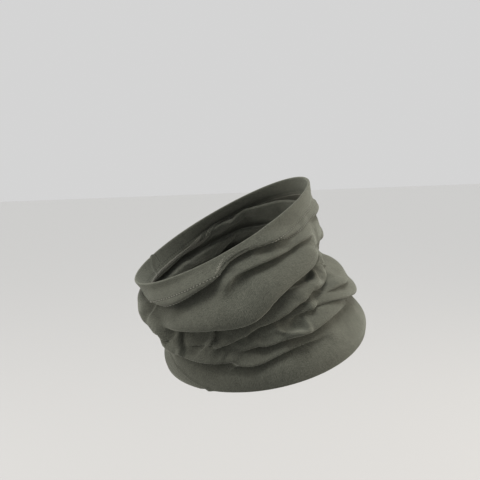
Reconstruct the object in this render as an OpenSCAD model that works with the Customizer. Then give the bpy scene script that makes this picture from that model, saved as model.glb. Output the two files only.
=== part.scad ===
// Neck gaiter: a knitted cloth tube, worn pushed down into soft folds.
// Origin: centre of the lower opening. +Z up the neck, -Y under the chin, +X to the wearer's left.
// Every piece is a band or a patch cut from one leaning, tapering tube. A place on that tube is
// given by its level, its angle around the tube and how far it lies inside the outer face.

/* [Cloth tube] */
// Height from the centre of the lower opening to the centre of the upper one
tube_rise = 94; // [80:1:110]
// How far the upper opening stands forward of the lower one
tube_lean = 38; // [25:1:45]
// Room that one layer of cloth takes up, with its small wrinkles
layer_t = 2.4; // [1.5:0.1:2.6]
// Room that the gathered folds take up, from the outermost roll to the neck
gather_t = 11; // [8:0.5:14]

/* [Upper opening] */
// Half the depth of the upper opening, chin to nape, seen from above
top_depth = 71; // [66:1:76]
// Slope of the upper opening, up from the chin to the nape
top_slope = 29.5; // [24:0.5:34]
// Where the upper opening dips lowest, in degrees round from the chin
top_dip = -8; // [-15:1:15]
// Width of the stitched hem
hem_w = 21; // [15:1:25]

/* [Lower opening] */
// Half the depth of the lower opening, seen from above
bottom_depth = 84; // [78:1:90]
// Slope of the lower opening, up from the chest to the back
bottom_slope = 16; // [8:1:20]
// Where the lower opening dips lowest, in degrees round from the chin
bottom_dip = 26; // [0:1:30]
// Length of cloth tucked up inside the lower edge
tuck_w = 28; // [25:1:32]

/* [Stitching] */
// Distance of the upper needle row from the hem's folded edge
row_upper = 13.5; // [10:0.5:14]
// Distance between the two needle rows
row_gauge = 6.4; // [4:0.4:6.4]
// Diameter of the sewing thread as it lies
thread_d = 0.7; // [0.5:0.1:1]
// Width of the seam allowance inside the tube
seam_w = 7; // [5:0.5:9]

/* [Hidden] */

cloth_colour = [0.36, 0.37, 0.33];
inside_colour = [0.31, 0.32, 0.28];
thread_colour = [0.24, 0.25, 0.21];

facets = 60;            // flats round the tube
clear = 0.5;            // gap between the pieces of different bodies
touch = 0.35;           // gap between pieces that lie against each other
skirt_top = 0.28;       // level at which the smooth skirt meets the folds

// Width of the tube over its depth, from the lower opening to the upper one
function side_ratio(h) = 1.02 - 0.12 * h;

// Outer radius under the chin and at the nape, from level 0 at the bottom to level 1 at the top
CHIN = [[0, 84], [0.17, 79], [0.33, 76], [0.55, 83], [0.78, 76], [1, 71]];
NAPE = [[0, 84], [0.1, 85], [0.22, 78], [0.3, 83], [0.49, 66], [0.72, 68], [1, 71]];

function mix(a, b, t) = a + (b - a) * t;
function axis_y(h) = -tube_lean * h;
function radius(h, phi) = mix(lookup(h, NAPE), lookup(h, CHIN), (1 + cos(phi)) / 2)
    + mix(bottom_depth - 84, top_depth - 71, h);

// Slopes of the level h: across the tube and from front to back
function slope_x(h) = -mix(tan(bottom_slope) * sin(bottom_dip), tan(top_slope) * sin(top_dip), h);
function slope_y(h) = mix(tan(bottom_slope) * cos(bottom_dip), tan(top_slope) * cos(top_dip), h);

// The point of the tube at level h and angle phi from the chin, inset from the outer face
function place(h, phi, inset) =
    let (r = radius(h, phi) - inset)
    let (x = r * side_ratio(h) * sin(phi))
    let (y = -r * cos(phi))
    [x, axis_y(h) + y, tube_rise * h + slope_x(h) * x + slope_y(h) * y];

// Height of the tube at an angle, and the level that lies d mm from the level f there
function height(phi) = place(1, phi, 0).z - place(0, phi, 0).z;
function level(f, d, phi) = f + d / height(phi);

// Angle of the lengthwise seam: it winds round as the tube is twisted on the neck
function seam_angle(h) = lookup(h, [[0, 28], [0.25, -6], [1, -60]]);

// Two triangles for the square between columns i and i2 and rows j and j2 of a grid n wide
function square_faces(i, i2, j, j2, n) = [
    [j * n + i, j * n + i2, j2 * n + i2],
    [j * n + i, j2 * n + i2, j2 * n + i]
];

// A closed band round the tube, t thick, between the levels lo and hi, each [level, offset in mm].
// inset lists [share of the way up, inset of the outer face].
module band(lo, hi, rows, inset, t) {
    // The outer face runs up, then the inner face runs down, so the rows close into a ring
    rings = concat(
        [for (j = [0:rows]) [j / rows, lookup(j / rows, inset)]],
        [for (j = [rows:-1:0]) [j / rows, lookup(j / rows, inset) + t]]
    );
    count = len(rings);
    points = [
        for (ring = rings, i = [0:facets - 1])
            let (phi = 360 * i / facets)
            let (h = mix(level(lo[0], lo[1], phi), level(hi[0], hi[1], phi), ring[0]))
            place(h, phi, ring[1])
    ];
    faces = [
        for (j = [0:count - 1], i = [0:facets - 1])
            each square_faces((i + 1) % facets, i, j, (j + 1) % count, facets)
    ];
    polyhedron(points, faces, convexity = 6);
}

// A closed strip, t thick, that runs up the tube along the seam from level lo to level hi
module seam_strip(lo, hi, steps, width, inset, t) {
    points = [
        for (j = [0:steps], corner = [[-1, 0], [1, 0], [1, t], [-1, t]])
            let (start = level(lo[0], lo[1], seam_angle(lo[0])))
            let (end = level(hi[0], hi[1], seam_angle(hi[0])))
            let (h = mix(start, end, j / steps))
            let (half_angle = width / 2 / radius(h, seam_angle(h)) * 180 / PI)
            place(h, seam_angle(h) + corner[0] * half_angle, inset + corner[1])
    ];
    faces = concat(
        [for (j = [0:steps - 1], i = [0:3]) each square_faces(i, (i + 1) % 4, j, j + 1, 4)],
        [[3, 2, 1], [3, 1, 0]],
        [for (t = [[0, 1, 2], [0, 2, 3]]) [for (k = t) steps * 4 + k]]
    );
    polyhedron(points, faces, convexity = 6);
}

// A thread lying round the tube: d mm from level f, with its outer side at the given inset
module thread(f, d, inset) {
    color(thread_colour)
        band([f, d - thread_d / 2], [f, d + thread_d / 2], 1, [[0, inset]], thread_d);
}

// The looper thread that joins two needle rows, the lower of them d mm from level f
module looper(f, d, inset) {
    color(thread_colour)
        band([f, d], [f, d + row_gauge], 2, [[0, inset]], thread_d);
}

// The trimmed edges of the seam, and below them the overlock thread that binds them
module seam_cloth(lo, hi, steps, inset) {
    color(inside_colour) seam_strip(lo, hi, steps, seam_w, inset, layer_t / 2);
}
module seam_binding(lo, hi, steps, inset) {
    color(thread_colour)
        seam_strip(lo, hi, steps, seam_w - 1, inset + layer_t / 2 + touch, thread_d);
}

// Insets of the layers, counted inwards from the tube's outer face
behind_cloth = layer_t + touch;
behind_hem = behind_cloth + layer_t + touch;
behind_folds = gather_t + touch;
folds_face = behind_folds + touch;
tuck_hem = behind_folds + thread_d + 2 * touch;
tuck_cloth = tuck_hem + layer_t + touch;
tuck_face = tuck_cloth + layer_t + 2 * touch;

// The tuck starts at the lower edge, close to the skirt, and lies behind the folds higher up
tuck_path = [[0, behind_cloth], [0.25, tuck_cloth], [1, tuck_cloth]];
seam_start = 5;         // the skirt's seam allowance starts this far above the lower edge
folds_seam = tuck_w + 8; // and the folds' seam allowance this far above it
upper_row = -row_upper;
lower_row = -row_upper - row_gauge;

// Smooth lower part of the tube, which lies on the shoulders
module tube_skirt() color(cloth_colour)
    band([0, 0], [skirt_top, 0], 5, [[0, 0]], layer_t);

// Middle part of the tube, pushed down into folds, which opens out as the collar is pulled up
module tube_folds() color(cloth_colour)
    band([skirt_top, touch], [1, -hem_w - clear], 10, [[0, 0]], gather_t);

// Top of the tube, the outer layer of the hem
module tube_collar() color(cloth_colour)
    band([1, -hem_w], [1, 0], 3, [[0, 0]], layer_t);

// Hem allowance, turned in behind the collar
module top_hem_turn() color(inside_colour)
    band([1, -hem_w], [1, 0], 3, [[0, behind_cloth]], layer_t);

// End of the tube, tucked up inside the skirt
module bottom_tuck() color(inside_colour)
    band([0, 0], [0, tuck_w], 8, tuck_path, layer_t);

// Hem allowance of the tucked end, on the side that faces the skirt
module bottom_hem_turn() color(inside_colour)
    band([0, tuck_w - hem_w], [0, tuck_w], 6, [[0, tuck_hem]], layer_t);

module top_needle_row_upper() thread(1, upper_row, -thread_d - touch);
module top_needle_row_lower() thread(1, lower_row, -thread_d - touch);
module top_looper_thread() looper(1, lower_row, behind_hem);

module bottom_needle_row_upper() thread(0, tuck_w + upper_row, tuck_face);
module bottom_needle_row_lower() thread(0, tuck_w + lower_row, tuck_face);
module bottom_looper_thread() looper(0, tuck_w + lower_row, behind_folds);

// The lengthwise seam, in the skirt, in the folds and across the hem
module skirt_seam_allowance() seam_cloth([0, seam_start], [skirt_top, 0], 4, behind_cloth);
module skirt_seam_thread() seam_binding([0, seam_start], [skirt_top, 0], 4, behind_cloth);

module folds_seam_allowance() seam_cloth([0, folds_seam], [1, -hem_w - 3], 8, folds_face);
module folds_seam_thread() seam_binding([0, folds_seam], [1, -hem_w - 3], 8, folds_face);

module collar_seam_allowance() seam_cloth([1, upper_row + 1], [1, -1], 3, behind_hem);
module collar_seam_thread() seam_binding([1, upper_row + 1], [1, -1], 3, behind_hem);

tube_skirt();
tube_folds();
tube_collar();
top_hem_turn();
bottom_tuck();
bottom_hem_turn();
top_needle_row_upper();
top_needle_row_lower();
top_looper_thread();
bottom_needle_row_upper();
bottom_needle_row_lower();
bottom_looper_thread();
skirt_seam_allowance();
skirt_seam_thread();
folds_seam_allowance();
folds_seam_thread();
collar_seam_allowance();
collar_seam_thread();
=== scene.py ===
import math

import bpy
import numpy as np
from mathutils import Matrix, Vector


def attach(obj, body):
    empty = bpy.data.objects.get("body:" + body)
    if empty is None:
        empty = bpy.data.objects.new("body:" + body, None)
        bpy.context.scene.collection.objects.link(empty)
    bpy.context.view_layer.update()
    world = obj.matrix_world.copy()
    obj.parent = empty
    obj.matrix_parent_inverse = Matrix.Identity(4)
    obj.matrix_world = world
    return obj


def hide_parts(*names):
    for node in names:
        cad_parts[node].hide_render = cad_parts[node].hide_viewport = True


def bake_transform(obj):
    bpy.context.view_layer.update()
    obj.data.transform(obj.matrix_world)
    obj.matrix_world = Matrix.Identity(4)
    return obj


# A neck gaiter: one knitted cloth tube, hemmed at both ends, worn pushed down into folds.
# Shapes are worked out in millimetres and written in metres.
# A place on the tube is given by its angle round the tube, in degrees from the chin towards the
# wearer's left, and its level, from 0 at the lower opening to 1 at the upper one.

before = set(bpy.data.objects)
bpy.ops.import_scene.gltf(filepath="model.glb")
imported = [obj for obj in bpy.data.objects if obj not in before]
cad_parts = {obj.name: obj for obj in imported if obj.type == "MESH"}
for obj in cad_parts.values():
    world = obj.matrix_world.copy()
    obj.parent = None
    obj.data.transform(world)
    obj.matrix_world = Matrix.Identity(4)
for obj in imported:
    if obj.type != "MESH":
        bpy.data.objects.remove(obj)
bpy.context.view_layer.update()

MM = 0.001

# Tube, as in the CAD model
RISE = 94                       # from the centre of the lower opening to that of the upper one
LEAN = 38                       # how far the upper opening stands forward
TOP_SLOPE, TOP_DIP = 29.5, -8       # slope of the upper opening and the angle where it dips, degrees
BOTTOM_SLOPE, BOTTOM_DIP = 16, 26
TUCK_W = 28                     # length of cloth tucked up inside the lower edge
HEM_W = 21
ROW_UPPER = 13.5                # from the hem's folded edge to its upper needle row
ROW_GAUGE = 6.4                 # between the two needle rows
SEAM_TURNS = [(0, 28), (0.25, -6), (1, -60)]    # level and angle of the lengthwise seam

# Outer radius up the tube, as (level, radius), at four angles a quarter turn apart
RADIUS = {
    -28: [(0, 79.5), (0.1, 77), (0.2, 74), (0.33, 73), (0.45, 72.5), (0.53, 72), (0.6, 71),
          (0.68, 69.5), (0.76, 68), (0.84, 67.5), (0.9, 68.5), (1, 70.5)],
    62: [(0, 85), (0.12, 84), (0.25, 80), (0.4, 78), (0.55, 80), (0.7, 79), (0.85, 73.5), (1, 71)],
    152: [(0, 83.5), (0.06, 85), (0.17, 80), (0.225, 78), (0.28, 79), (0.34, 80), (0.40, 77.5),
          (0.45, 71), (0.50, 66.5), (0.56, 66.5), (0.63, 69), (0.72, 70), (0.85, 69), (1, 71.5)],
    242: [(0, 84), (0.12, 83), (0.25, 79), (0.4, 80), (0.55, 79), (0.7, 76), (0.85, 73), (1, 71)],
}
MEAN_RADIUS = 76                # turns an angle into a distance along the cloth
FULL_TURN = 2 * math.pi * MEAN_RADIUS

# Cloth
FLAT_WIDTH, FLAT_LENGTH = 480, 302      # the cut cloth
CLOTH_T = 0.9                   # thickness of the jersey
WALE, COURSE = 0.85, 0.7        # spacing of the knitted stitches, across and down the cloth
HEM_GAP = 0.3                   # between the layers of a hem
HEM_T = 2 * CLOTH_T + HEM_GAP   # from a hem's face to the far face of its flap
TUCK_INSET = 3 * CLOTH_T + 2 * HEM_GAP  # of the tuck's face, from the outside of the tube
HEM_RISE, HEM_EDGE = 0.8, 0.6   # how far the doubled hem stands out, and how sharply it ends
ROW_DENT, ROW_DENT_W = 0.35, 1.0        # groove that each needle row draws into the hem

# Relief of the cloth's surface
STITCH_RELIEF, DENT_DEPTH, FUZZ_RELIEF = 0.12, 0.25, 0.2

# Stitching
THREAD_D = 0.6
STITCHES = 200                  # round one hem
ROW_LIFT = 0.05                 # of the needle threads above the cloth
HOLE_W = 1.0                    # dent the needle leaves at each end of a stitch
SEAM_W = 6                      # seam allowance
SEAM_RIDGE, SEAM_RIDGE_W = 0.8, 2.4     # how far and how wide the cloth stands out over the allowance
SEAM_GROOVE, SEAM_GROOVE_W = 0.4, 1.2
OVERLOCK_ROWS = 2.4             # rows of the grid that one turn of the overlock thread takes

# Grid of the cloth's outside, in rows from the upper edge down
COLUMNS = 300
HEM_ROWS = 14
BODY_ROWS = 150
TUCK_STEP = 1.75                # between rows of the tuck
EDGE_ROWS, TUCK_EDGE_ROWS = 5, 7        # steps round a hem's edge and round the lower edge
ANGLES = np.arange(COLUMNS) * 360 / COLUMNS - 180

# Cloth simulation: how strongly the cloth is drawn to its start, how much it grows, gravity, frames
SETTLE_PULL, SETTLE_GROWTH, SETTLE_GRAVITY, SETTLE_STEPS = 0.15, 0.01, 0.1, 10

# Shape of a fold across its line, in widths: how fast its crest and an open valley die away, how
# fast a closed valley does, the gain that makes the crest 1 high, and the swelling behind it
CREST_FADE, CLOSED_FADE, CREST_GAIN = 0.8, 1.5, 2.16
SWELL, SWELL_AT, SWELL_W = 0.4, 1.3, 0.9
LIP_HANG, LIP_POWER = 0.3, 1.2  # how far a lapped lip hangs past the fold's middle
FOLD_REACH = 3.5                # widths from its line at which a fold has died away
TOP_FADE, BOTTOM_FADE = 7, 6    # distance from the tube's edges over which the folds die away

# Moving the fold lines: rounds, the furthest a line may move, and how often a move is evened out
LINE_ROUNDS, LINE_MOVE, LINE_EVENING = 6, 2, 12

# Folds: each follows points (angle, level, size) along its visible edge. The cloth above the line
# hangs over the cloth below it, or the other way round where depth is negative. Widths and depths
# are in mm; lap says how far the cloth doubles back on itself; a fold with an open valley has a
# wide hollow below its edge, the others press shut.
FOLDS = {
    "under_hem": dict(width=4.5, depth=4.5, lap=2.9, open_valley=True, path=[
        (-9, 0.86, 0), (2, 0.86, 0.5), (10, 0.845, 0.9), (16, 0.815, 1), (23, 0.785, 1.1),
        (30, 0.78, 1.1), (38, 0.80, 1.1), (46, 0.825, 1.1), (54, 0.85, 1.2), (62, 0.882, 1.2),
        (70, 0.902, 1.2), (80, 0.908, 1.1), (89, 0.90, 0.9), (98, 0.87, 0.7), (108, 0.85, 0.4),
        (118, 0.84, 0)]),
    "under_hem_back": dict(width=5, depth=4, lap=2.7, path=[
        (128, 0.83, 0), (150, 0.81, 0.5), (180, 0.80, 0.9), (215, 0.82, 1), (250, 0.84, 0.8),
        (275, 0.85, 0)]),
    "chin_pocket": dict(width=4, depth=-2.2, lap=2.4, path=[
        (-95, 0.81, 0), (-75, 0.82, 0.7), (-50, 0.85, 1), (-28, 0.87, 1), (-12, 0.865, 1),
        (-2, 0.84, 0.9), (5, 0.80, 0)]),
    "second": dict(width=4, depth=4.5, lap=2.7, open_valley=True, path=[
        (58, 0.75, 0), (65, 0.785, 0.6), (73, 0.805, 1), (84, 0.80, 1.1), (96, 0.79, 1),
        (108, 0.778, 0.7), (118, 0.765, 0.4), (128, 0.745, 0)]),
    "dimple": dict(width=4, depth=3, lap=1, open_valley=True, path=[
        (57, 0.70, 0), (62, 0.735, 0.9), (66, 0.765, 1), (71, 0.785, 0.6), (76, 0.78, 0)]),
    "right_band": dict(width=5, depth=1.2, lap=1, path=[
        (106, 0.70, 0), (116, 0.695, 0.6), (130, 0.675, 0.6), (150, 0.66, 0.6), (180, 0.66, 0)]),
    "big_roll": dict(width=7.5, depth=6.5, lap=2.9, open_valley=True, path=[
        (10, 0.592, 0), (19, 0.579, 0.35), (28, 0.565, 0.65), (40, 0.54, 0.8), (50, 0.515, 0.9),
        (60, 0.503, 1.1), (68, 0.505, 1.2), (75, 0.535, 1.2), (84, 0.58, 1.1), (94, 0.60, 0.9),
        (104, 0.607, 0.8), (113, 0.615, 0.7), (119, 0.63, 0.5), (124, 0.645, 0)]),
    "pocket": dict(width=2.2, depth=-2.8, lap=2.4, path=[
        (84, 0.545, 0), (90, 0.563, 0.6), (97, 0.56, 1), (104, 0.553, 1), (110, 0.553, 1),
        (114, 0.565, 0.7), (117, 0.585, 0)]),
    "far_edge": dict(width=4.2, depth=4.5, lap=2.9, open_valley=True, path=[
        (40, 0.31, 0), (46, 0.327, 0.8), (54, 0.35, 1), (63, 0.365, 1), (69, 0.38, 1.1),
        (76, 0.395, 1.1), (84, 0.412, 1.1), (93, 0.425, 1.1), (101, 0.425, 1), (109, 0.43, 1),
        (116, 0.44, 1), (122, 0.455, 1), (128, 0.478, 1), (132, 0.51, 1), (133.5, 0.545, 0.75),
        (133, 0.58, 0.45), (131, 0.62, 0.25), (128, 0.66, 0)]),
    "inner_curl": dict(width=2.8, depth=2.8, lap=2.2, open_valley=True, path=[
        (98, 0.395, 0), (104, 0.39, 0.9), (112, 0.386, 1), (119, 0.385, 1), (127, 0.375, 1),
        (136, 0.35, 0.8), (148, 0.33, 0)]),
    "notch": dict(width=3, depth=3.5, lap=2.8, open_valley=True, path=[
        (82, 0.37, 0), (90, 0.38, 0.8), (97, 0.38, 0.9), (105, 0.364, 1), (114, 0.342, 1),
        (123, 0.315, 1), (131, 0.29, 1), (140, 0.26, 1.1), (152, 0.235, 1.2), (172, 0.215, 1),
        (195, 0.22, 0.8), (225, 0.26, 0)]),
    "pinch": dict(width=2, depth=3.2, lap=2.2, path=[
        (95, 0.375, 0), (92, 0.343, 0.9), (87, 0.34, 1), (82, 0.35, 0.9), (79, 0.362, 0)]),
    "pinch_lip": dict(width=2.2, depth=3.2, lap=2.4, path=[
        (62, 0.325, 0), (68, 0.33, 0.8), (76, 0.335, 1), (83, 0.325, 0.8), (89, 0.31, 0)]),
    "fold_b": dict(width=2.8, depth=3, lap=2.5, path=[
        (44, 0.265, 0), (51, 0.28, 0.9), (58, 0.295, 1), (66, 0.302, 0.8), (72, 0.305, 0)]),
    "fold_c": dict(width=3.2, depth=4, lap=2.9, open_valley=True, path=[
        (48, 0.24, 0), (56, 0.255, 0.8), (66, 0.268, 1.1), (76, 0.275, 1.1), (88, 0.27, 1.1),
        (97, 0.275, 1.1), (106, 0.283, 1.1), (115, 0.278, 1), (124, 0.262, 0.8), (134, 0.24, 0)]),
    "fold_d": dict(width=4, depth=2.8, lap=2.3, open_valley=True, path=[
        (44, 0.165, 0), (52, 0.175, 0.9), (60, 0.185, 1), (68, 0.19, 0.9), (78, 0.205, 1.1),
        (86, 0.208, 0.9), (95, 0.2, 0.5), (108, 0.18, 0)]),
    "back_high": dict(width=5, depth=5, lap=2.8, path=[
        (150, 0.62, 0), (168, 0.60, 0.8), (190, 0.56, 1), (212, 0.53, 1), (235, 0.53, 0.9),
        (262, 0.57, 0.8), (285, 0.62, 0)]),
    "back_middle": dict(width=4.5, depth=4.5, lap=2.8, path=[
        (182, 0.41, 0), (204, 0.40, 0.9), (234, 0.41, 1), (262, 0.44, 1), (286, 0.46, 0.9),
        (306, 0.44, 0)]),
    "back_upper": dict(width=4, depth=3.5, lap=2.5, path=[
        (205, 0.70, 0), (225, 0.68, 0.8), (250, 0.70, 1), (275, 0.715, 0.9), (300, 0.69, 0.8),
        (322, 0.66, 0)]),
    "back_low": dict(width=5, depth=4, lap=2.5, path=[
        (222, 0.16, 0), (245, 0.19, 0.8), (270, 0.235, 1), (292, 0.26, 0.9), (312, 0.25, 0)]),
    "slit": dict(width=2.6, depth=-3.2, lap=2.4, path=[
        (55, 0.53, 0), (51, 0.50, 0.9), (48, 0.465, 1), (46, 0.43, 1), (43, 0.388, 0.9),
        (41, 0.35, 0)]),
    "facet_lip": dict(width=2.4, depth=2.5, lap=2.2, path=[
        (25, 0.45, 0), (28, 0.412, 0.8), (34, 0.395, 1), (41, 0.375, 0.9), (46, 0.365, 0)]),
    "rim": dict(width=2.4, depth=-1.8, lap=1.8, path=[
        (29, 0.575, 0), (25.5, 0.53, 0.9), (24.5, 0.48, 1), (24.5, 0.42, 0.9), (25, 0.36, 0)]),
    "roll_lip": dict(width=2.2, depth=2.5, lap=2.2, path=[
        (9, 0.61, 0), (11.5, 0.55, 0.8), (13, 0.495, 1), (16, 0.457, 0.9), (21, 0.445, 0)]),
    "roll_front": dict(width=5, depth=5.5, lap=2.9, open_valley=True, path=[
        (-80, 0.52, 0), (-45, 0.59, 0.9), (-20, 0.62, 1), (-4, 0.61, 1), (4, 0.575, 1), (8, 0.51, 1),
        (10, 0.42, 1), (14, 0.35, 1), (21, 0.325, 1), (28, 0.285, 1), (36, 0.245, 1), (46, 0.213, 0.8),
        (58, 0.20, 0.4), (68, 0.2, 0)]),
}


def curve(x, table):
    """A smooth curve through a table's points, read at x."""
    at, value = np.array(table, float).T
    slope = np.gradient(value, at)
    k = np.clip(np.searchsorted(at, x) - 1, 0, len(at) - 2)
    span = at[k + 1] - at[k]
    t = np.clip((x - at[k]) / span, 0, 1)
    return ((1 + 2 * t) * (1 - t) ** 2 * value[k] + t * (1 - t) ** 2 * span * slope[k]
            + t * t * (3 - 2 * t) * value[k + 1] - t * t * (1 - t) * span * slope[k + 1])


def unit(v):
    """Vectors of length 1."""
    return v / np.maximum(np.linalg.norm(v, axis=-1, keepdims=True), 1e-9)


def soften(values, rounds):
    """Values on a grid round the tube, evened out with their neighbours."""
    for _ in range(rounds):
        values = (values + np.roll(values, 1, axis=1) + np.roll(values, -1, axis=1)) / 3
        padded = np.concatenate([values[:1], values, values[-1:]])
        values = (padded[:-2] + padded[1:-1] + padded[2:]) / 3
    return values


def spline(a, b, c, d, t):
    """A smooth curve through b and c, at t from 0 to 1 between them."""
    return 0.5 * (2 * b + (c - a) * t + (2 * a - 5 * b + 4 * c - d) * t * t
                  + (3 * b - a - 3 * c + d) * t ** 3)


def read_between(values, at, wrap):
    """Values read between rows on a smooth curve; the rows close into a ring where wrap is true."""
    count = len(values)
    i = np.floor(at).astype(int)
    f = (at - i).reshape((-1,) + (1,) * (values.ndim - 1))
    rows = [(i + k) % count if wrap else np.clip(i + k, 0, count - 1) for k in (-1, 0, 1, 2)]
    return spline(*(values[row] for row in rows), f)


# The smooth tube

def radius_at(angle, level):
    """Outer radius of the smooth tube."""
    total = np.zeros(np.broadcast(angle, level).shape)
    for middle, table in RADIUS.items():
        away = np.abs((angle - middle + 180) % 360 - 180) / 90
        t = np.clip(1 - away, 0, 1)
        total += t * t * (3 - 2 * t) * curve(level, table)
    return total


def side_ratio(level):
    """Width of the tube over its depth."""
    return 1.02 - 0.12 * level


def slopes(level):
    """Slope of a level across the tube and from front to back."""
    bottom, top = math.tan(math.radians(BOTTOM_SLOPE)), math.tan(math.radians(TOP_SLOPE))
    low, high = math.radians(BOTTOM_DIP), math.radians(TOP_DIP)
    across = -bottom * math.sin(low) * (1 - level) - top * math.sin(high) * level
    along = bottom * math.cos(low) * (1 - level) + top * math.cos(high) * level
    return across, along


def place(angle, level):
    """Points of the smooth tube, in mm."""
    turn = np.radians(angle)
    radius = radius_at(angle, level)
    x = radius * side_ratio(level) * np.sin(turn)
    y = -radius * np.cos(turn)
    across, along = slopes(level)
    return np.stack([x, y - LEAN * level, RISE * level + across * x + along * y], axis=-1)


def height(angle):
    """Height of the tube at an angle, in mm."""
    return place(angle, np.ones_like(angle))[..., 2] - place(angle, np.zeros_like(angle))[..., 2]


def smooth_normal(angle, level):
    """Outward normals of the smooth tube."""
    round_it = place(angle + 0.5, level) - place(angle - 0.5, level)
    up_it = place(angle, level + 0.01) - place(angle, level - 0.01)
    return unit(np.cross(round_it, up_it))


# The folds, worked out on the flattened tube: x round it and y up it, in mm

def smooth_path(points, step=2.0):
    """A fold's points on a smooth curve on the flattened tube, with its size at each."""
    p = np.array(points, float)
    flat = np.stack([p[:, 0] * math.pi / 180 * MEAN_RADIUS, p[:, 1] * height(p[:, 0]), p[:, 2]], axis=-1)
    ends = np.concatenate([[2 * flat[0] - flat[1]], flat, [2 * flat[-1] - flat[-2]]])
    out = []
    for k in range(1, len(ends) - 2):
        n = max(2, int(np.linalg.norm((ends[k + 1] - ends[k])[:2]) / step))
        out += [spline(*ends[k - 1:k + 3], t) for t in np.arange(n) / n]
    out.append(ends[-2])
    return np.array(out)


def nearest_on_path(x, y, path):
    """The place on a path nearest to each point, the path's size there and the way it runs."""
    step = np.gradient(path[:, :2], axis=0)
    line = np.hstack([path, unit(step)])
    spacing = np.linalg.norm(step, axis=1)
    best = np.full(x.shape, 1e9)
    near = np.zeros(x.shape, int)
    for k, spot in enumerate(path):
        gap = (x - spot[0]) ** 2 + (y - spot[1]) ** 2
        near[gap < best] = k
        best = np.minimum(best, gap)
    off_x, off_y = x - path[near, 0], y - path[near, 1]
    along = (off_x * line[near, 3] + off_y * line[near, 4]) / spacing[near]
    at = near + np.clip(along, -0.5, 0.5)
    return [np.interp(at, np.arange(len(line)), part) for part in line.T]


def fold_profile(u, open_valley):
    """How far a fold of depth 1 stands out, u widths from its middle on the crest's side."""
    swell = np.exp(-((u - SWELL_AT) / SWELL_W) ** 2)
    fade = np.where(u > 0, CREST_FADE, CREST_FADE if open_valley else CLOSED_FADE)
    wave = u * np.exp(-fade * u * u)
    return CREST_GAIN * wave + SWELL * swell


def fold_offsets(x, y, fold, path):
    """How far one fold moves points of the flattened tube: round the tube, up it and out of it."""
    side = np.sign(fold["depth"])
    moved = np.zeros(x.shape + (3,))
    low, high = path[:, :2].min(axis=0), path[:, :2].max(axis=0)
    reach = FOLD_REACH * fold["width"]
    for turn in (-FULL_TURN, 0, FULL_TURN):
        close = ((x + turn > low[0] - reach) & (x + turn < high[0] + reach)
                 & (y > low[1] - reach) & (y < high[1] + reach))
        if not close.any():
            continue
        px, py = x[close] + turn, y[close]
        line_x, line_y, size, way_x, way_y = nearest_on_path(px, py, path)
        dx, dy = px - line_x, py - line_y
        size = np.clip(size, 0, None)
        # The line is the lip's edge, which hangs below the fold's middle
        hang = LIP_HANG * np.clip(fold["lap"] * size - 1, 0, None) ** LIP_POWER * fold["width"] * side
        d = -dx * way_y + dy * way_x - hang
        width = fold["width"] * (0.5 + 0.5 * size)
        beyond = (dx * way_x + dy * way_y) / fold["width"]
        size = size * np.exp(-beyond ** 2)
        u = d / width
        shift = -fold["lap"] * d * np.exp(-u * u) * size
        out = size * abs(fold["depth"]) * fold_profile(u * side, fold.get("open_valley"))
        moved[close] += np.stack([-shift * way_y, shift * way_x, out], axis=-1)
    return moved


def fold_lines():
    """Each fold's line on the flattened tube, moved to where its neighbours draw it into its place."""
    aims = {name: smooth_path(fold["path"]) for name, fold in FOLDS.items()}
    lines = {name: aim.copy() for name, aim in aims.items()}
    for _ in range(LINE_ROUNDS):
        for name, aim in aims.items():
            x, y = lines[name][:, 0], lines[name][:, 1]
            drawn = sum(fold_offsets(x, y, fold, lines[other])[:, :2]
                        for other, fold in FOLDS.items() if other != name)
            drawn = np.clip(drawn, -LINE_MOVE, LINE_MOVE)
            for _ in range(LINE_EVENING):
                drawn[1:-1] = (drawn[:-2] + drawn[1:-1] + drawn[2:]) / 3
            lines[name][:, :2] = 0.5 * lines[name][:, :2] + 0.5 * (aim[:, :2] - drawn)
    return lines


def hem_shape(depth):
    """How far the hem stands out at a depth below the upper edge: doubled, and drawn in by its rows."""
    band = HEM_RISE / (1 + np.exp((depth - HEM_W) / HEM_EDGE))
    rows = sum(np.exp(-((depth - row) / ROW_DENT_W) ** 2) for row in (ROW_UPPER, ROW_UPPER + ROW_GAUGE))
    return band - ROW_DENT * rows


def seam_angle(level):
    """Angle of the lengthwise seam: it winds round as the tube is twisted on the neck."""
    return np.interp(level, *zip(*SEAM_TURNS))


def seam_shape(angle, level):
    """How far the cloth stands out over the seam allowance, with a groove along the seam."""
    beside = (angle - seam_angle(level)) * math.pi / 180 * MEAN_RADIUS
    ridge = SEAM_RIDGE * np.exp(-((beside - SEAM_W / 2) / SEAM_RIDGE_W) ** 2)
    return ridge - SEAM_GROOVE * np.exp(-(beside / SEAM_GROOVE_W) ** 2)


def folded(angle, level, lines):
    """Points of the folded tube."""
    x = angle * math.pi / 180 * MEAN_RADIUS
    y = level * height(angle)
    moved = np.zeros(x.shape + (3,))
    for name, fold in FOLDS.items():
        moved += fold_offsets(x, y, fold, lines[name])
    near_edge = np.clip(np.minimum((height(angle) - y) / TOP_FADE, y / BOTTOM_FADE), 0, 1)
    moved *= (near_edge ** 2 * (3 - 2 * near_edge))[..., None]
    new_angle = (x + moved[..., 0]) / MEAN_RADIUS * 180 / math.pi
    new_level = (y + moved[..., 1]) / height(new_angle)
    out = moved[..., 2] + hem_shape(height(angle) - y) + seam_shape(angle, level)
    return place(new_angle, new_level) + smooth_normal(new_angle, new_level) * out[..., None]


# The cloth

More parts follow.
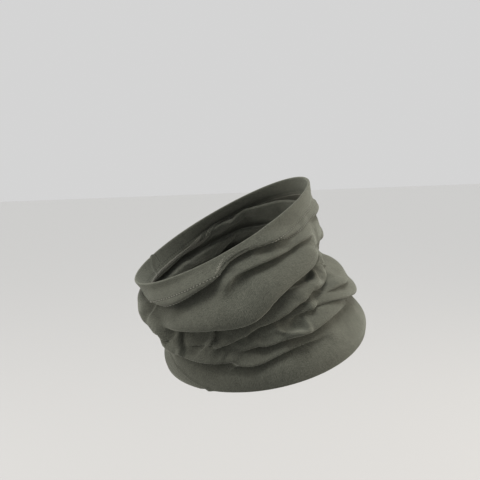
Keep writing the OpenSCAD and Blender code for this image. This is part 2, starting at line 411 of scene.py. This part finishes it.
def tube_grid():
    """The outside of the cloth, in rows from the upper edge down, with each point's level."""
    lines = fold_lines()
    trial = np.linspace(1, 0, 260)
    run = np.linalg.norm(np.diff(folded(*np.meshgrid(ANGLES, trial), lines), axis=0), axis=-1)
    run = np.concatenate([np.zeros((1, COLUMNS)), np.cumsum(run, axis=0)])
    levels = np.empty((HEM_ROWS + BODY_ROWS + 1, COLUMNS))
    hem = np.linspace(0, HEM_W, HEM_ROWS + 1)
    share = np.linspace(0, 1, BODY_ROWS + 1)[1:]
    for i in range(COLUMNS):
        body = HEM_W + share * (run[-1, i] - HEM_W)
        levels[:, i] = np.interp(np.concatenate([hem, body]), run[:, i], trial)
    return folded(np.tile(ANGLES, (len(levels), 1)), levels, lines), levels


def grid_normals(grid):
    """Outward normals of a grid that closes round the tube, with rows from the upper edge down."""
    round_it = np.roll(grid, -1, axis=1) - np.roll(grid, 1, axis=1)
    up_it = -np.gradient(grid, axis=0)
    return unit(np.cross(round_it, up_it))


def add_cloth_simulation(obj):
    """A light jersey that touches itself at its own thickness."""
    modifier = obj.modifiers.new("cloth", "CLOTH")
    cloth = modifier.settings
    cloth.quality = 8
    cloth.mass = 0.2
    cloth.tension_stiffness = cloth.compression_stiffness = 15
    cloth.shear_stiffness = 5
    cloth.bending_stiffness = 50
    cloth.tension_damping = cloth.compression_damping = cloth.shear_damping = 10
    cloth.bending_damping = 1
    cloth.air_damping = 3
    cloth.vertex_group_mass = "hold"
    cloth.shrink_min = -SETTLE_GROWTH
    cloth.effector_weights.gravity = SETTLE_GRAVITY
    touching = modifier.collision_settings
    touching.use_collision = False
    touching.use_self_collision = True
    touching.self_distance_min = CLOTH_T * MM
    touching.collision_quality = 4


def settle(grid):
    """The tube after a short cloth simulation, which lets the folds sag, tighten and press together.

    The simulation runs on a coarser grid, and the way each point moves is spread over the fine one.
    The upper edge of the hem and the lower edge stay where they are; the rest is drawn towards its
    start, so the folds stay in their places.
    """
    hem_rows, body_rows = range(0, HEM_ROWS, 2), range(HEM_ROWS, len(grid) - 2, 4)
    picked = [*hem_rows, *body_rows, len(grid) - 1]
    coarse = grid[picked][:, ::2]
    count, around = coarse.shape[:2]
    obj = add_object("settling", coarse, ring_faces(count, around))
    index = np.arange(count * around).reshape(count, around)
    hold = obj.vertex_groups.new(name="hold")
    for weight, held in ((1, index[[0, 1, 2, 3, -1]]), (0.5, index[4:6]), (SETTLE_PULL, index[6:-1])):
        hold.add(held.ravel().tolist(), weight, "REPLACE")
    add_cloth_simulation(obj)
    scene = bpy.context.scene
    for step in range(1, SETTLE_STEPS + 1):
        scene.frame_set(step)
    settled = obj.evaluated_get(bpy.context.evaluated_depsgraph_get()).data
    moved = np.array([v.co[:] for v in settled.vertices]).reshape(coarse.shape) / MM - coarse
    bpy.data.objects.remove(obj)
    scene.frame_set(1)
    moved = read_between(moved, np.interp(np.arange(len(grid)), picked, np.arange(count)), False)
    moved = read_between(moved.swapaxes(0, 1), np.arange(COLUMNS) / 2, True).swapaxes(0, 1)
    return grid + soften(moved, 2)


def tuck_surface(grid):
    """The tuck's face towards the neck, in rows from its upper edge down, and its outward normals.

    It lies inside the deepest folds within a short reach of the cloth outside it. At the lower edge
    it turns straight into the tube, so the folds push it in only further up.
    """
    reach, straight, evening = 7, 8, 6
    rise = np.arange(0, TUCK_W + 0.1, TUCK_STEP)
    angle, up = np.meshgrid(ANGLES, rise)
    level = up / height(angle)
    smooth, normal = place(angle, level), smooth_normal(angle, level)
    dents = np.zeros(angle.shape)
    nearby = grid[HEM_ROWS + BODY_ROWS // 3:]
    for i in range(COLUMNS):
        points = nearby[:, np.arange(i - 3, i + 4) % COLUMNS].reshape(-1, 3)
        for j in range(len(rise)):
            gap = points - smooth[j, i]
            depth = gap @ normal[j, i]
            across = np.linalg.norm(gap - depth[:, None] * normal[j, i], axis=1)
            dents[j, i] = max(0, -depth[across < reach].min(initial=0))
    dents *= np.minimum(1, up / straight)
    inset = soften(dents, evening) + TUCK_INSET
    return (smooth - normal * inset[..., None])[::-1], normal[::-1]


def half_turn(start, end, away, steps=EDGE_ROWS):
    """Rows of a half circle from start to end, bulging away from them."""
    middle, arm = (start + end) / 2, (start - end) / 2
    reach = np.linalg.norm(arm, axis=-1, keepdims=True)
    turns = np.arange(1, steps) * math.pi / steps
    return [middle + arm * math.cos(t) + away * reach * math.sin(t) for t in turns]


def lay_sheet(grid, flap, tuck, low_flap):
    """The whole cloth as rows from its upper raw edge to its lower one, with the distance down it.

    Upper hem flap, outside of the tube, tuck, lower hem flap.
    """
    up, down = unit(grid[0] - grid[2]), unit(grid[-1] - grid[-4])
    tuck_up = unit(tuck[0] - tuck[2])
    rows = list(flap[HEM_ROWS::-1]) + half_turn(flap[0], grid[0], up)
    rows += list(grid) + half_turn(grid[-1], tuck[-1], down, TUCK_EDGE_ROWS)
    rows += list(tuck[::-1]) + half_turn(tuck[0], low_flap[0], tuck_up)
    rows += list(low_flap[:int(HEM_W / TUCK_STEP) + 1])
    rows = np.array(rows)
    step = np.linalg.norm(np.diff(rows, axis=0), axis=-1)
    return rows, np.concatenate([np.zeros((1, COLUMNS)), np.cumsum(step, axis=0)])


def seam_column(level):
    """Where the lengthwise seam runs, in columns."""
    return (seam_angle(level) + 180) / 360 * COLUMNS


def sheet_gaps(rows, run, levels):
    """Distances of the sheet's points from the lengthwise seam and from the nearest hem's edge."""
    first = HEM_ROWS + EDGE_ROWS        # row of the sheet that is the tube's upper edge
    last = first + len(levels)
    from_edge = np.arange(len(rows)) - first
    beyond = np.clip(np.interp(from_edge, np.arange(len(levels)), levels.mean(axis=1)), 0, 1)
    sheet_levels = np.tile(beyond[:, None], (1, COLUMNS))
    sheet_levels[first:last] = levels
    seam_gap = np.arange(COLUMNS) - seam_column(sheet_levels)
    seam_gap = ((seam_gap + COLUMNS / 2) % COLUMNS - COLUMNS / 2) * FLAT_WIDTH / COLUMNS
    tuck_top = last + TUCK_EDGE_ROWS - 1 + int(TUCK_W / TUCK_STEP)
    return seam_gap, np.minimum(np.abs(run - run[first]), np.abs(run - run[tuck_top]))


# Meshes

def add_object(name, points, faces, material=None):
    """A smooth mesh object from points in mm."""
    mesh = bpy.data.meshes.new(name)
    mesh.from_pydata((np.asarray(points).reshape(-1, 3) * MM).tolist(), [], faces)
    mesh.shade_smooth()
    obj = bpy.data.objects.new(name, mesh)
    bpy.context.scene.collection.objects.link(obj)
    if material:
        mesh.materials.append(material)
    return obj


def ring_faces(rows, columns, offset=0):
    """Quads of a grid that closes along its rows."""
    index = np.arange(rows * columns).reshape(rows, columns) + offset
    right = np.roll(index, -1, axis=1)
    return np.stack([index[1:], right[1:], right[:-1], index[:-1]], axis=-1).reshape(-1, 4).tolist()


def add_uv_map(mesh, name, across, down, wraps=False):
    """A UV map in mm from two distances at each point; one that wraps runs on over the last column."""
    layer = mesh.uv_layers.new(name=name)
    corner = np.empty(len(mesh.loops), int)
    mesh.loops.foreach_get("vertex_index", corner)
    uv = np.stack([across, down], axis=-1).reshape(-1, 2)[corner].reshape(-1, 4, 2)
    if wraps:
        wrap = uv[:, :, 0].max(axis=1) - uv[:, :, 0].min(axis=1) > FLAT_WIDTH / 2
        uv[wrap, :, 0] += np.where(uv[wrap, :, 0] < FLAT_WIDTH / 2, FLAT_WIDTH, 0)
    layer.data.foreach_set("uv", uv.reshape(-1))


def cloth_object(rows, run, levels, materials):
    """The cloth as a closed sheet of its real thickness.

    Its UV maps, in mm, are the place on the flat cut, and the distances from the seam and from
    the nearest hem edge.
    """
    cloth = add_object("tube_cloth", rows, ring_faces(len(rows), COLUMNS), materials[0])
    cloth.data.materials.append(materials[1])
    flat = np.tile(np.arange(COLUMNS) * FLAT_WIDTH / COLUMNS, (len(rows), 1))
    seam_gap, hem_gap = sheet_gaps(rows, run, levels)
    add_uv_map(cloth.data, "flat_mm", flat, run, wraps=True)
    add_uv_map(cloth.data, "seam_mm", seam_gap, run)
    add_uv_map(cloth.data, "hem_mm", flat, hem_gap)
    solid = cloth.modifiers.new("thickness", "SOLIDIFY")
    solid.thickness = CLOTH_T * MM
    solid.offset = -1
    solid.material_offset = 1
    solid.material_offset_rim = 1
    bpy.context.view_layer.update()
    mesh = bpy.data.meshes.new_from_object(cloth.evaluated_get(bpy.context.evaluated_depsgraph_get()))
    cloth.modifiers.clear()
    cloth.data = mesh
    return cloth


def on_grid(grid, row, column):
    """Points of a grid between its rows and columns."""
    row = np.clip(row, 0, len(grid) - 1.001)
    r, c = np.floor(row).astype(int), np.floor(column).astype(int)
    fr, fc = (row - r)[..., None], (column - c)[..., None]
    c0, c1 = c % COLUMNS, (c + 1) % COLUMNS
    upper = grid[r, c0] * (1 - fc) + grid[r, c1] * fc
    lower = grid[r + 1, c0] * (1 - fc) + grid[r + 1, c1] * fc
    return upper * (1 - fr) + lower * fr


def tube_along(path, normals, radii, sides):
    """Points of a round thread along a path: one ring of points for each point of the path."""
    way = unit(np.gradient(path, axis=0))
    across = unit(np.cross(way, normals))
    out = np.cross(across, way)
    turns = np.arange(sides) * 2 * math.pi / sides
    ring = across[:, None] * np.cos(turns)[:, None] + out[:, None] * np.sin(turns)[:, None]
    return path[:, None] + ring * radii[:, None, None]


def thread_object(name, tubes, material):
    """One object from several tubes with closed ends, each an array of rings."""
    points, faces = [], []
    for rings in tubes:
        offset = sum(len(p) for p in points)
        count, sides = rings.shape[:2]
        faces += [face[::-1] for face in ring_faces(count, sides, offset)]
        faces.append([offset + k for k in range(sides)][::-1])
        faces.append([offset + (count - 1) * sides + k for k in range(sides)])
        points.append(rings.reshape(-1, 3))
    return add_object(name, np.concatenate(points), faces, material)


# Stitching and seam

def needle_row(name, surface, normal, row, material):
    """A ring of straight stitches lying on a surface, each dipping into the cloth at its ends."""
    share = np.array([0.19, 0.26, 0.4, 0.6, 0.74, 0.81])        # of a stitch's length
    rise = np.array([-0.5, -0.05, 0.16, 0.16, -0.05, -0.5])
    radii = THREAD_D / 2 * np.array([0.6, 0.9, 1, 1, 0.9, 0.6])
    tubes = []
    for k in range(STITCHES):
        column = (k + share) * COLUMNS / STITCHES
        rows = np.full(column.shape, float(row))
        out = on_grid(normal, rows, column)
        path = on_grid(surface, rows, column) + out * (rise + ROW_LIFT)[:, None]
        tubes.append(tube_along(path, out, radii, 6))
    return thread_object(name, tubes, material)


def looper_web(name, surface, normal, row_a, row_b, material):
    """The looper threads behind the stitching: two crossing waves that loop round both rows."""
    tubes = []
    turn = np.arange(STITCHES * 6 + 1) / 6
    for phase, lift in ((0, 0.28), (0.5, 0.5)):
        swing = 0.5 - 0.5 * np.cos(2 * math.pi * (turn + phase))
        lean = 0.25 * np.sin(4 * math.pi * (turn + phase))
        row = row_a + (row_b - row_a) * (1.12 * swing - 0.06)
        column = (turn + lean) * COLUMNS / STITCHES
        out = on_grid(normal, row, column)
        path = on_grid(surface, row, column) + out * lift
        tubes.append(tube_along(path, out, np.full(len(path), THREAD_D * 0.45), 5))
    return thread_object(name, tubes, material)


def seam_line(grid, levels):
    """Rows and columns of the seam's line down the inside of the tube, below the hem's flap."""
    rows = np.arange(HEM_ROWS + 1, len(grid) - 4, 1.0)
    columns = np.full(rows.shape, seam_column(1.0))
    # A row's level changes round the tube, so its place on the seam is closed in on
    for _ in range(4):
        columns = seam_column(on_grid(levels[..., None], rows, columns)[:, 0])
    return rows, columns


def seam_allowance(grid, normal, rows, columns, material):
    """The trimmed edges of the seam, as one flat strip inside the tube."""
    # The strip's section, as (share of its width, depth below the cloth)
    section = [(-0.05, 0.1), (0.5, 0.15), (0.95, 0.1), (1.0, 0.5),
               (0.95, 1.0), (0.5, 1.25), (0.0, 1.1), (-0.1, 0.6)]
    wide = SEAM_W / FLAT_WIDTH * COLUMNS
    rings = []
    for share, deep in section:
        at = columns + share * wide
        rings.append(on_grid(grid, rows, at) - on_grid(normal, rows, at) * (CLOTH_T + deep))
    return thread_object("seam_allowance", [np.stack(rings, axis=1)], material)


def overlock(grid, normal, rows, columns, material):
    """The threads that wrap the seam allowance: two crossing waves down its whole length."""
    wide = SEAM_W / FLAT_WIDTH * COLUMNS
    turn = np.arange(int(len(rows) / OVERLOCK_ROWS) * 8) / 8
    row = rows[0] + turn * OVERLOCK_ROWS
    column = np.interp(row, rows, columns)
    tubes = []
    for phase, deep in ((0, 1.35), (0.5, 1.5)):
        swing = 0.5 - 0.5 * np.cos(2 * math.pi * (turn + phase))
        at = column + (0.1 + 0.92 * swing) * wide
        out = -on_grid(normal, row, at)
        path = on_grid(grid, row, at) + out * (CLOTH_T + deep)
        tubes.append(tube_along(path, out, np.full(len(path), THREAD_D * 0.4), 5))
    return thread_object("seam_overlock_thread", tubes, material)


# Materials

def node_maker(tree):
    """A short way to add shader nodes: add(type, inputs, settings) gives the first output."""
    def add(kind, inputs=(), **settings):
        node = tree.nodes.new(kind)
        for key, value in settings.items():
            setattr(node, key, value)
        for key, value in dict(inputs).items():
            if isinstance(value, bpy.types.NodeSocket):
                tree.links.new(value, node.inputs[key])
            else:
                node.inputs[key].default_value = value
        return node.outputs[0]
    return add


def math_maker(add):
    """A short way to add math nodes: calc(operation, values)."""
    def calc(operation, *values):
        return add("ShaderNodeMath", dict(enumerate(values)), operation=operation)
    return calc


def uv_parts(tree, name):
    """The two distances that a UV map holds."""
    split = tree.nodes.new("ShaderNodeSeparateXYZ")
    uv = tree.nodes.new("ShaderNodeUVMap")
    uv.uv_map = name
    tree.links.new(uv.outputs[0], split.inputs[0])
    return uv.outputs[0], split.outputs[0], split.outputs[1]


def knit_stitches(calc, u, v, right_side):
    """Relief of the knit: columns of V stitches, or rows of small arcs on the wrong side; it also sets
    the painted shade between the stitches.
    """
    across = calc("MULTIPLY", calc("PINGPONG", calc("DIVIDE", u, WALE), 0.5), 2.0)
    slant = calc("MULTIPLY", across, 0.7 if right_side else 0.25)
    down = calc("ADD", calc("DIVIDE", v, COURSE), slant)
    loop = calc("MULTIPLY", calc("PINGPONG", down, 0.5), 2.0)
    if right_side:
        return calc("MULTIPLY", calc("SUBTRACT", 1.0, calc("POWER", across, 2.0)),
                    calc("ADD", 0.6, calc("MULTIPLY", loop, 0.4)))
    return calc("MULTIPLY", loop, calc("ADD", 0.6, calc("MULTIPLY", across, 0.4)))


def needle_holes(calc, u, hem):
    """0 in the hole that the needle leaves at each end of a stitch, rising to about 1 around it."""
    pitch = FLAT_WIDTH / STITCHES
    beside = calc("MULTIPLY", calc("PINGPONG", calc("DIVIDE", u, pitch), 0.5), pitch)
    from_middle = calc("ABSOLUTE", calc("SUBTRACT", hem, ROW_UPPER + ROW_GAUGE / 2))
    to_rows = calc("ABSOLUTE", calc("SUBTRACT", from_middle, ROW_GAUGE / 2))
    away = calc("SQRT", calc("ADD", calc("POWER", beside, 2.0), calc("POWER", to_rows, 2.0)))
    return calc("SMOOTH_MIN", calc("POWER", calc("DIVIDE", away, HOLE_W), 2.0), 1.0, 0.3)


def heather(add, calc, flat):
    """Yarns of several shades spun together: flecks along the courses and a slow drift of tone."""
    def noise(place, scale, detail, rough):
        return add("ShaderNodeTexNoise", {"Vector": place, "Scale": scale, "Detail": detail,
                                          "Roughness": rough})

    yarn = noise(add("ShaderNodeMapping", {0: flat, "Scale": (0.28, 1.4, 1)}), 1.0, 3.0, 0.7)
    wale = noise(add("ShaderNodeMapping", {0: flat, "Scale": (0.9, 0.06, 1)}), 1.0, 2.0, 0.6)
    grain = noise(flat, 1.1, 2.0, 0.8)
    drift = noise(flat, 0.12, 4.0, 0.7)
    tone = 1.0
    for shades, share in ((yarn, 1.1), (wale, 0.3), (grain, 1.7), (drift, 0.5)):
        tone = calc("ADD", tone, calc("MULTIPLY", calc("SUBTRACT", shades, 0.5), share))
    return tone, yarn


def knit_material(name, colour, right_side):
    """Heather jersey, from its right or its wrong side, with painted shade between the stitches, along
    the seam and in the needle holes.
    """
    mat = bpy.data.materials.new(name)
    mat.use_nodes = True
    tree = mat.node_tree
    bsdf = tree.nodes["Principled BSDF"]
    add = node_maker(tree)
    calc = math_maker(add)

    flat, u, v = uv_parts(tree, "flat_mm")
    seam = uv_parts(tree, "seam_mm")[1]
    hem = uv_parts(tree, "hem_mm")[2]
    stitch = knit_stitches(calc, u, v, right_side)
    tone, yarn = heather(add, calc, flat)
    off_seam = calc("MINIMUM", calc("DIVIDE", calc("ABSOLUTE", seam), 0.7), 1.0)
    off_hole = needle_holes(calc, u, hem)

    # Colour: darker between the stitches, along the seam's needle line and in the needle holes: painted
    # shade in these dents of the cloth
    dents = calc("MULTIPLY", calc("ADD", 0.55, calc("MULTIPLY", off_seam, 0.45)),
                 calc("ADD", 0.2, calc("MULTIPLY", off_hole, 0.8)))
    shade = calc("MULTIPLY", calc("ADD", 0.8, calc("MULTIPLY", stitch, 0.25)), dents)
    ramp = tree.nodes.new("ShaderNodeValToRGB")
    dark, light = ramp.color_ramp.elements
    dark.position, light.position = 0.35, 0.75
    dark.color = (*(c * 0.45 for c in colour), 1)
    light.color = (*(c * 1.25 for c in colour), 1)
    # The painted shade of the stitches and dents darkens the heather's tone before the ramp
    tree.links.new(calc("MULTIPLY", calc("MULTIPLY", shade, tone), 0.6), ramp.inputs[0])
    tree.links.new(ramp.outputs[0], bsdf.inputs["Base Color"])

    # Relief: the stitches, the dents and some fuzz
    whole = calc("MULTIPLY", off_seam, off_hole)
    relief = calc("ADD", calc("MULTIPLY", stitch, STITCH_RELIEF), calc("MULTIPLY", whole, DENT_DEPTH))
    fuzz = add("ShaderNodeTexNoise", {"Vector": flat, "Scale": 2.2, "Detail": 3.0})
    bumps = calc("ADD", calc("MULTIPLY", relief, MM), calc("MULTIPLY", fuzz, FUZZ_RELIEF * MM))
    normal = add("ShaderNodeBump", {"Height": bumps, "Distance": 1.0, "Strength": 0.8})
    tree.links.new(normal, bsdf.inputs["Normal"])
    tree.links.new(calc("ADD", 0.82, calc("MULTIPLY", yarn, 0.16)), bsdf.inputs["Roughness"])
    bsdf.inputs["Specular IOR Level"].default_value = 0.25
    bsdf.inputs["Sheen Weight"].default_value = 0.3
    bsdf.inputs["Sheen Roughness"].default_value = 0.5
    bsdf.inputs["Sheen Tint"].default_value = (0.75, 0.78, 0.66, 1)
    return mat


def thread_material():
    """Spun polyester thread with its twist, and painted shade in the twist's grooves."""
    mat = bpy.data.materials.new("sewing_thread")
    mat.use_nodes = True
    tree = mat.node_tree
    bsdf = tree.nodes["Principled BSDF"]
    add = node_maker(tree)
    own_place = tree.nodes.new("ShaderNodeTexCoord").outputs["Object"]
    place_mm = add("ShaderNodeMapping", {0: own_place, "Scale": (1 / MM, 1 / MM, 1 / MM)})
    twist = add("ShaderNodeTexWave", {"Vector": place_mm, "Scale": 1.1, "Distortion": 1.5,
                                      "Detail": 1.0}, bands_direction="DIAGONAL")
    # The ramp paints shade into the twist: darker where the twist's relief is low
    ramp = tree.nodes.new("ShaderNodeValToRGB")
    dark, light = ramp.color_ramp.elements
    dark.color = (0.085, 0.085, 0.066, 1)
    light.color = (0.2, 0.197, 0.158, 1)
    tree.links.new(twist, ramp.inputs[0])
    tree.links.new(ramp.outputs[0], bsdf.inputs["Base Color"])
    bump = add("ShaderNodeBump", {"Height": twist, "Distance": 0.0001, "Strength": 0.6})
    tree.links.new(bump, bsdf.inputs["Normal"])
    bsdf.inputs["Roughness"].default_value = 0.55
    bsdf.inputs["Sheen Weight"].default_value = 0.15
    return mat


# Camera, light and floor

def add_camera():
    """A long lens at the photo's viewing angle."""
    turn, pitch, distance = math.radians(62), math.radians(6.3), 1.0
    right = Vector((math.cos(turn), math.sin(turn), 0))
    back = Vector((math.sin(turn) * math.cos(pitch), -math.cos(turn) * math.cos(pitch), math.sin(pitch)))
    # Aimed at the middle of the gaiter's height, a little to the left of its axis
    target = Vector((0, 0, 0.084)) - right * 0.019
    camera = bpy.data.objects.new("camera", bpy.data.cameras.new("camera"))
    camera.data.lens = 91.5
    camera.location = target + back * distance
    camera.rotation_euler = back.to_track_quat("Z", "Y").to_euler()
    bpy.context.scene.collection.objects.link(camera)
    bpy.context.scene.camera = camera


def add_light(name, kind, energy, place, colour):
    """A light that shines from its place towards the origin."""
    lamp = bpy.data.objects.new(name, bpy.data.lights.new(name, kind))
    lamp.data.energy = energy
    lamp.data.color = colour
    lamp.location = Vector(place)
    lamp.rotation_euler = Vector(place).to_track_quat("Z", "Y").to_euler()
    bpy.context.scene.collection.objects.link(lamp)
    return lamp.data


def add_lights():
    """A broad key light from above, a warm one from each side, and a white studio round it."""
    add_light("key_from_above", "SUN", 3.4, (0.25, -0.15, 1.1), (1, 0.99, 0.96)).angle = math.radians(30)
    add_light("warm_from_right", "AREA", 15, (0.5, 1.3, 0.45), (1, 0.88, 0.74)).size = 0.8
    add_light("warm_from_left", "AREA", 12, (-0.5, -1.3, 0.5), (1, 0.95, 0.88)).size = 0.8
    world = bpy.data.worlds.new("studio")
    world.use_nodes = True
    background = world.node_tree.nodes["Background"]
    background.inputs["Color"].default_value = (1, 1, 1, 1)
    background.inputs["Strength"].default_value = 0.66
    bpy.context.scene.world = world
    bpy.context.scene.view_settings.view_transform = "Standard"


def add_floor():
    """A plain pale floor below the gaiter."""
    mesh = bpy.data.meshes.new("floor")
    half, low = 4, -0.2
    mesh.from_pydata([(-half, -half, low), (half, -half, low), (half, half, low), (-half, half, low)],
                     [], [(0, 1, 2, 3)])
    obj = bpy.data.objects.new("floor", mesh)
    bpy.context.scene.collection.objects.link(obj)
    mat = bpy.data.materials.new("pale_floor")
    mat.use_nodes = True
    mat.node_tree.nodes["Principled BSDF"].inputs["Base Color"].default_value = (0.35, 0.35, 0.35, 1)
    mesh.materials.append(mat)


# The pieces, put on the frame's bodies

def add_stitching(end, body, front, front_normal, back, back_normal, row_a, row_b, material):
    """The two needle rows of a hem and the looper thread behind them."""
    for name, piece in [
            (end + "_needle_row_upper", needle_row(
                end + "_needle_row_upper_stitches", front, front_normal, row_a, material)),
            (end + "_needle_row_lower", needle_row(
                end + "_needle_row_lower_stitches", front, front_normal, row_b, material)),
            (end + "_looper_thread", looper_web(
                end + "_looper_thread_stitches", back, back_normal, row_a, row_b, material))]:
        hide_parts(name)
        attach(piece, body)


add_camera()
add_lights()
add_floor()
right_side = knit_material("knit_cloth", (0.064, 0.066, 0.052), True)
wrong_side = knit_material("knit_cloth_inside", (0.070, 0.072, 0.058), False)
thread = thread_material()

grid, levels = tube_grid()
grid = settle(grid)
normal = grid_normals(grid)
flap = grid - normal * HEM_T
tuck, tuck_normal = tuck_surface(grid)
low_flap = tuck + tuck_normal * HEM_T

rows, run = lay_sheet(grid, flap, tuck, low_flap)
cloth = cloth_object(rows, run, levels, [right_side, wrong_side])
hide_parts("tube_skirt", "tube_folds", "tube_collar",
            "top_hem_turn", "bottom_tuck", "bottom_hem_turn")

seam_rows, seam_columns = seam_line(grid, levels)
allowance = seam_allowance(grid, normal, seam_rows, seam_columns, wrong_side)
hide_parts("skirt_seam_allowance", "folds_seam_allowance", "collar_seam_allowance")
binding = overlock(grid, normal, seam_rows, seam_columns, thread)
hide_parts("skirt_seam_thread", "folds_seam_thread", "collar_seam_thread")

row_a, row_b = ROW_UPPER / HEM_W * HEM_ROWS, (ROW_UPPER + ROW_GAUGE) / HEM_W * HEM_ROWS
add_stitching("top", "upper_hem", grid, normal, flap, -normal, row_a, row_b, thread)
row_a, row_b = ROW_UPPER / TUCK_STEP, (ROW_UPPER + ROW_GAUGE) / TUCK_STEP
add_stitching("bottom", "lower_tube", tuck, -tuck_normal, low_flap, tuck_normal, row_a, row_b, thread)

# The cloth, the seam allowance and the overlock thread stay on no body; their placing is written into
# their meshes
for piece in (cloth, allowance, binding):
    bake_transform(piece)
